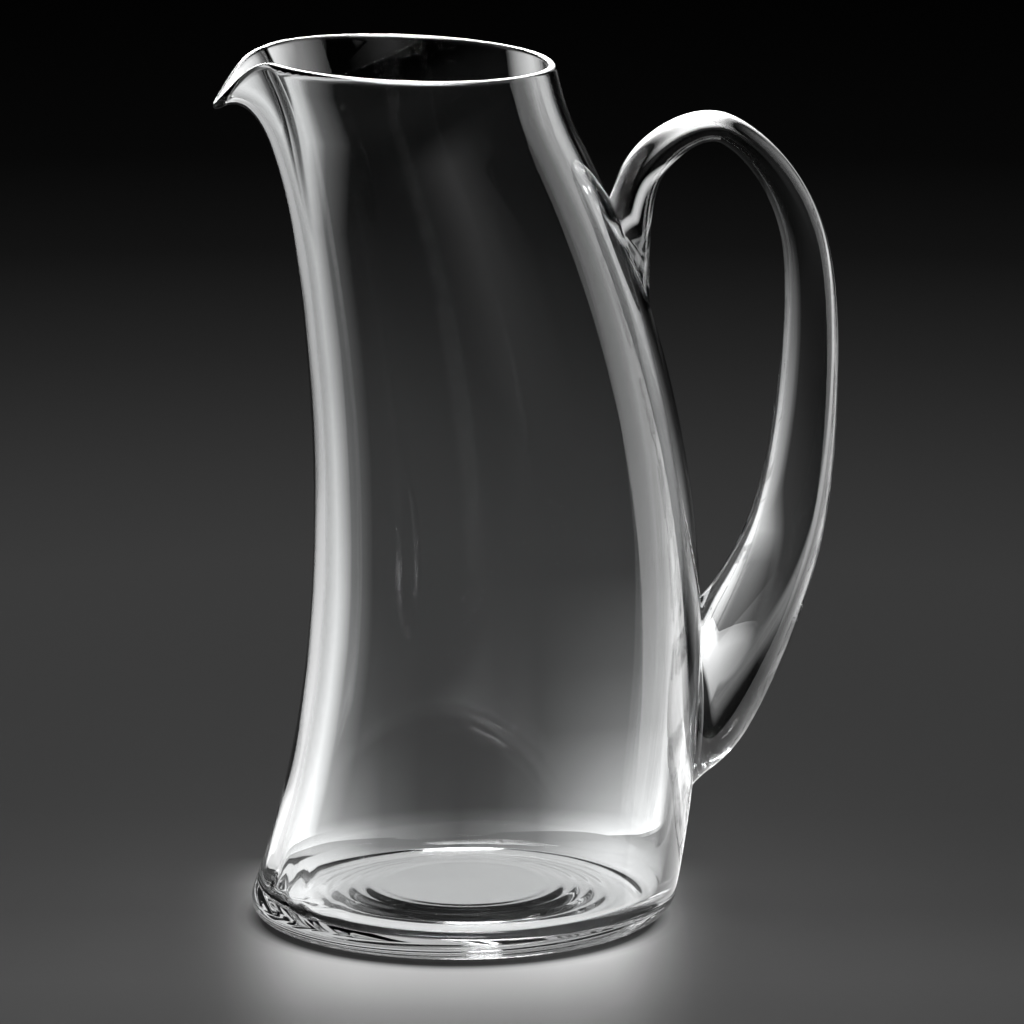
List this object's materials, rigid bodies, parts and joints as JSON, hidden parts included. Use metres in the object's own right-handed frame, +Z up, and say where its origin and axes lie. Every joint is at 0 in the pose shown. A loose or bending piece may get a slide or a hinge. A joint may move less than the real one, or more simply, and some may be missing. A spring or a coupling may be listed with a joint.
{
  "type": "pitcher",
  "caption": "Clear hand-blown glass pitcher, waisted and leaning towards a pulled pouring spout, with an arched tapering handle sealed to its wall.",
  "frame": {"origin": "on the table, under the middle of the pitcher's overall length and width", "axes": "+Z up, -X towards the spout, +X towards the handle"},
  "size_m": [0.184, 0.1254, 0.2572],
  "materials": {
    "vessel_glass": "clear, fire polished",
    "handle_glass": "clear, fire polished"
  },
  "bodies": {
    "root": {"vessel": "vessel_glass", "handle": "handle_glass"}
  },
  "joints": []
}
